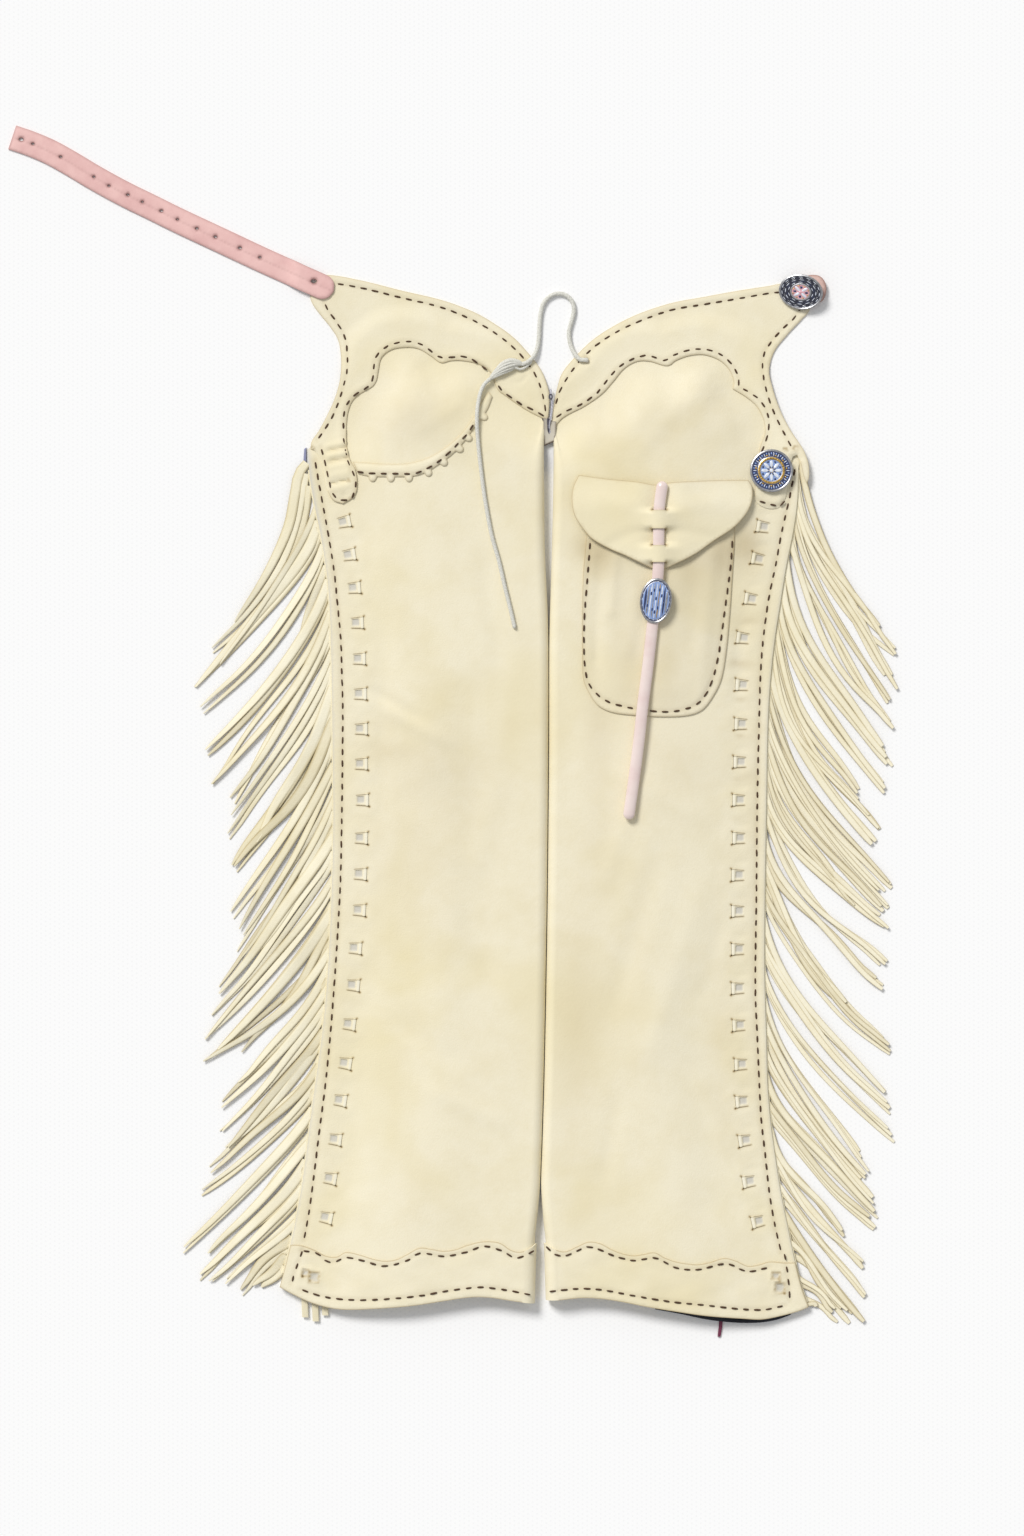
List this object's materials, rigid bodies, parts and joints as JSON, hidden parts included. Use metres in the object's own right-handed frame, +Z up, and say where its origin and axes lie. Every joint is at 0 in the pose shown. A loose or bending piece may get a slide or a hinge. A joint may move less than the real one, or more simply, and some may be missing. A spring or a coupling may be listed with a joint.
{
  "type": "leather chaps",
  "caption": "Cream suede fringed chaps laid flat on their back: two wrapped legs, scalloped yokes with tip ends, a punched belt strap, a laced flap pocket and round conchos",
  "frame": {"origin": "middle of the garment's outline on the surface that it lies on, at the height of its underside", "axes": "+X to the right side of the picture, +Y up the legs to the waist, +Z up from the surface"},
  "size_m": [0.8002, 1.09, 0.0297],
  "materials": {
    "cream_suede": "napped cream suede, matt, with soft creases and dark brown running stitches",
    "fringe_suede": "the same suede cut into narrow strands, cut edges a little darker",
    "belt_leather": "smooth pink strap leather with darker cut edges",
    "thong_leather": "round pale pink leather thong with a soft shine",
    "lace_cord": "grey-cream twisted lace",
    "concho_metal": "silver-rimmed domed plates with coloured enamel rings",
    "dark_facing": "dark navy facing, matt",
    "burgundy_thong": "burgundy flat leather lace",
    "binding": "blue-grey binding tape"
  },
  "bodies": {
    "root": {"leg_left": "cream_suede", "leg_right": "cream_suede", "yoke_left": "cream_suede", "yoke_right": "cream_suede", "hem_band_left": "cream_suede", "hem_band_right": "cream_suede", "pocket_right": "cream_suede", "pocket_flap_right": "cream_suede", "welt_left": "cream_suede", "fringe_left": "fringe_suede", "fringe_right": "fringe_suede", "belt_strap_left": "belt_leather", "belt_stub_right": "belt_leather", "concho_belt": "concho_metal", "concho_hip": "concho_metal", "concho_oval": "concho_metal", "pocket_thong": "thong_leather", "lace": "lace_cord", "lace_knot": "lace_cord", "lace_tail": "lace_cord", "crotch_link": "lace_cord", "hem_facing_right": "dark_facing", "hem_thong": "burgundy_thong", "hip_binding_left": "binding"}
  },
  "joints": []
}
